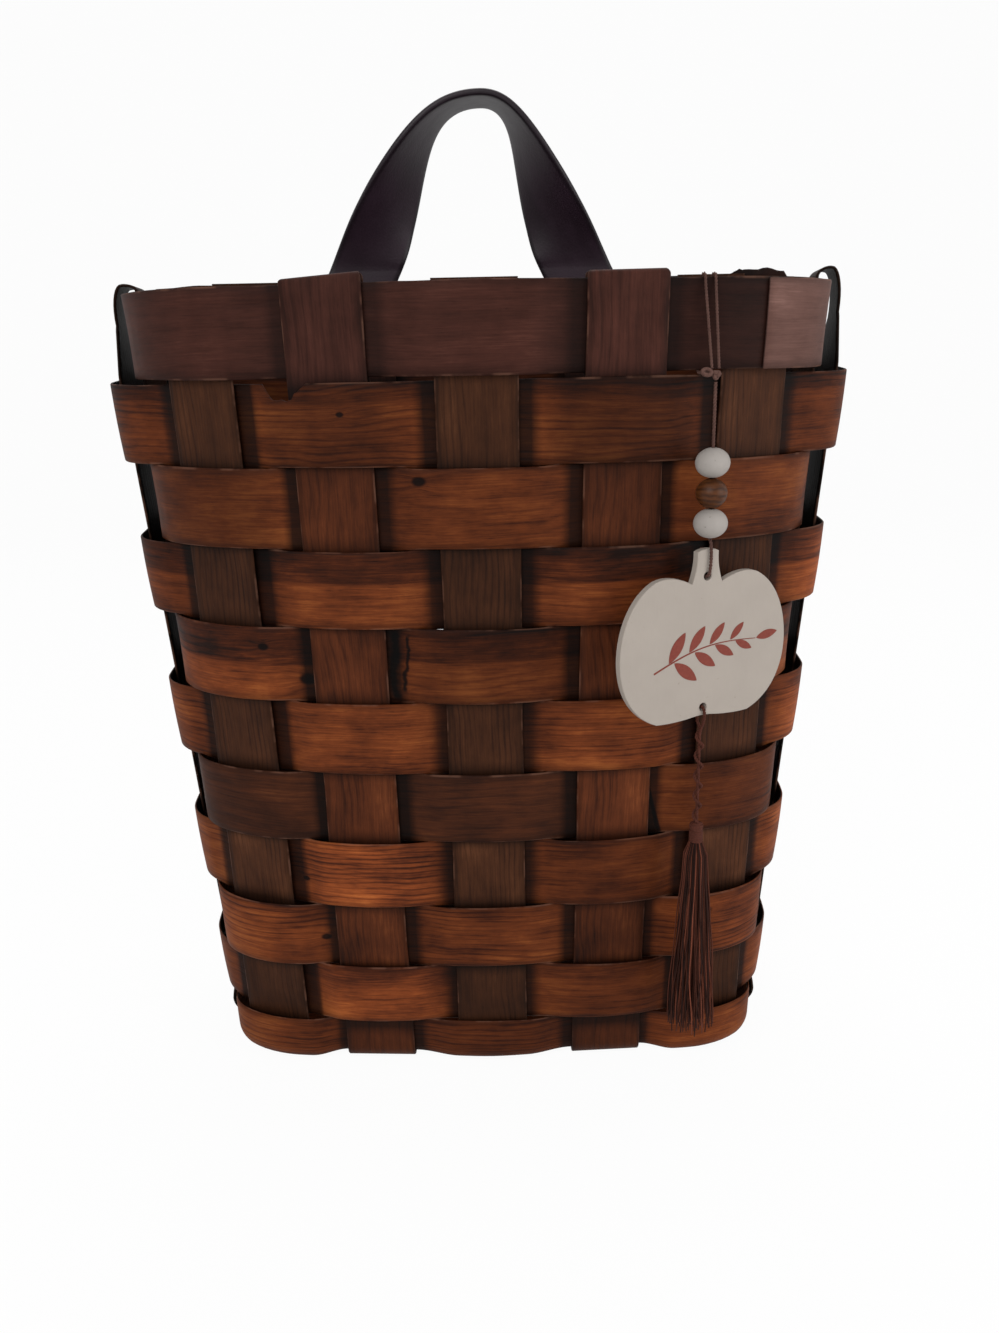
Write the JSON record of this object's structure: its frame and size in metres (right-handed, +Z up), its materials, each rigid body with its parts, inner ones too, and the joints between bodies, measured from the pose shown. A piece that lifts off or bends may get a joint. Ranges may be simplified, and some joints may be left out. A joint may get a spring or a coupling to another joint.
{
  "type": "hanging wall basket",
  "caption": "Flat-backed wall basket plain woven from wide wooden splints, with folded stake ends, a twisted leather strap handle and a hanging charm of beads, pumpkin tag and tassel.",
  "frame": {"origin": "on the surface under the base, below the middle of the basket's box without its charm", "axes": "+Z up; +Y towards the wall that the flat back hangs against, so -Y is the rounded front; +X to the right as the front is seen"},
  "size_m": [0.38, 0.1625, 0.515],
  "materials": {
    "dark_stake": "weathered dark green-brown splint, grain along it",
    "red_stake": "waxed red-brown splint, grain along it",
    "side_stake": "dark, almost black splint",
    "weaver": "warm orange-brown splint with dark streaks and knots",
    "dark_weaver": "dark green-brown splint",
    "rim_band": "dark red-brown splint",
    "filler": "raw brown splint on the base",
    "leather": "dark purplish leather with darker edges",
    "rivet": "aged brass",
    "cord": "brown twisted cord",
    "white_paint": "off-white painted wood",
    "brown_bead": "dark brown stained wood",
    "tassel": "rust-brown threads"
  },
  "bodies": {
    "basket": {"stake_1": "dark_stake", "stake_2": "red_stake", "stake_3": "dark_stake", "stake_4": "red_stake", "stake_5": "dark_stake", "side_stake": "side_stake", "base_filler_front": "filler", "base_filler_back": "filler", "rim_band": "rim_band", "weaver_2": "weaver", "weaver_3": "weaver", "weaver_4": "weaver", "weaver_5": "weaver", "weaver_6": "weaver", "weaver_7": "dark_weaver", "weaver_8": "weaver", "weaver_9": "weaver", "weaver_10": "weaver", "weaver_11": "weaver", "strap_end_left": "leather", "strap_end_right": "leather", "rivet_1": "rivet", "rivet_2": "rivet", "rivet_3": "rivet", "rivet_4": "rivet", "charm_loop_left": "cord", "charm_loop_right": "cord"},
    "strap": {"strap_arch": "leather"},
    "charm_knot": {"charm_knot": "cord"},
    "charm_drop": {"charm_cord": "cord"},
    "bead_top": {"bead_top": "white_paint"},
    "bead_middle": {"bead_middle": "brown_bead"},
    "bead_bottom": {"bead_bottom": "white_paint"},
    "tag": {"tag": "white_paint"},
    "tassel": {"tassel_cord": "cord", "tassel_head": "tassel", "tassel_skirt": "tassel"}
  },
  "joints": [
    {"name": "strap_lean", "type": "hinge", "parent": "basket", "child": "strap", "pos_m": [-0.004, 0.06698, 0.43095], "axis": [1, 0, 0], "range_deg": [-15, 55], "stiffness_Nm_per_rad": 0.4},
    {"name": "charm_side", "type": "hinge", "parent": "basket", "child": "charm_knot", "pos_m": [0.10722, -0.06718, 0.37275], "axis": [0.306, -0.952, 0], "range_deg": [-15, 15]},
    {"name": "charm_out", "type": "hinge", "parent": "charm_knot", "child": "charm_drop", "pos_m": [0.10722, -0.06718, 0.37275], "axis": [-0.952, -0.306, 0], "range_deg": [0, 60]},
    {"name": "bead_top_spin", "type": "hinge", "parent": "charm_drop", "child": "bead_top", "pos_m": [0.10722, -0.06718, 0.33395], "axis": [0, 0, 1], "continuous": true},
    {"name": "bead_middle_spin", "type": "hinge", "parent": "charm_drop", "child": "bead_middle", "pos_m": [0.10722, -0.06718, 0.32005], "axis": [0, 0, 1], "continuous": true},
    {"name": "bead_bottom_spin", "type": "hinge", "parent": "charm_drop", "child": "bead_bottom", "pos_m": [0.10722, -0.06718, 0.30615], "axis": [0, 0, 1], "continuous": true},
    {"name": "tag_swing", "type": "hinge", "parent": "charm_drop", "child": "tag", "pos_m": [0.1062, -0.06501, 0.28105], "axis": [0.423, -0.9061, 0], "range_deg": [-22, 22]},
    {"name": "tassel_swing", "type": "hinge", "parent": "tag", "child": "tassel", "pos_m": [0.1062, -0.06501, 0.21585], "axis": [0.423, -0.9061, 0], "range_deg": [-30, 30]}
  ]
}
